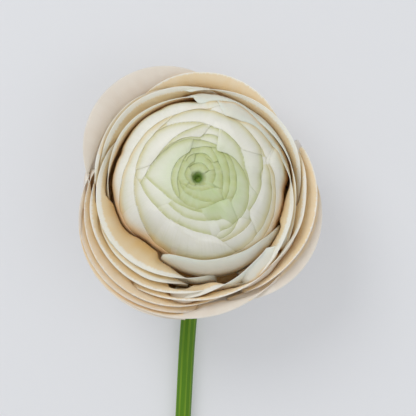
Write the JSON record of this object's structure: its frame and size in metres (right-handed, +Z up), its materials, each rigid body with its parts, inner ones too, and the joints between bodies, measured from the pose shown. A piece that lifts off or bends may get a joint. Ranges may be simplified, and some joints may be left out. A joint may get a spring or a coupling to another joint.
{
  "type": "ranunculus flower",
  "caption": "Cut ranunculus bloom with tightly layered white and blush petals round a green heart, on a bare round stem, lying face up.",
  "frame": {"origin": "on the surface the flower lies on, below the middle of its whole length and width", "axes": "+Y from the cut end of the stem to the bloom, +Z up out of the face of the bloom"},
  "size_m": [0.0812, 0.2136, 0.0491],
  "materials": {
    "blush_petal": "soft satin petal tissue, thin enough to let light through, peach inside with white margins",
    "white_petal": "soft satin petal tissue, white with a greenish cream shade",
    "green_petal": "soft satin petal tissue, pale green",
    "sepal": "matt leafy tissue, fresh green",
    "stem": "smooth matt green stem with fine lengthwise ribs"
  },
  "bodies": {
    "root": {"outer_petals": "blush_petal", "middle_petals": "white_petal", "heart_petals": "green_petal", "calyx": "sepal", "stem": "stem"}
  },
  "joints": []
}
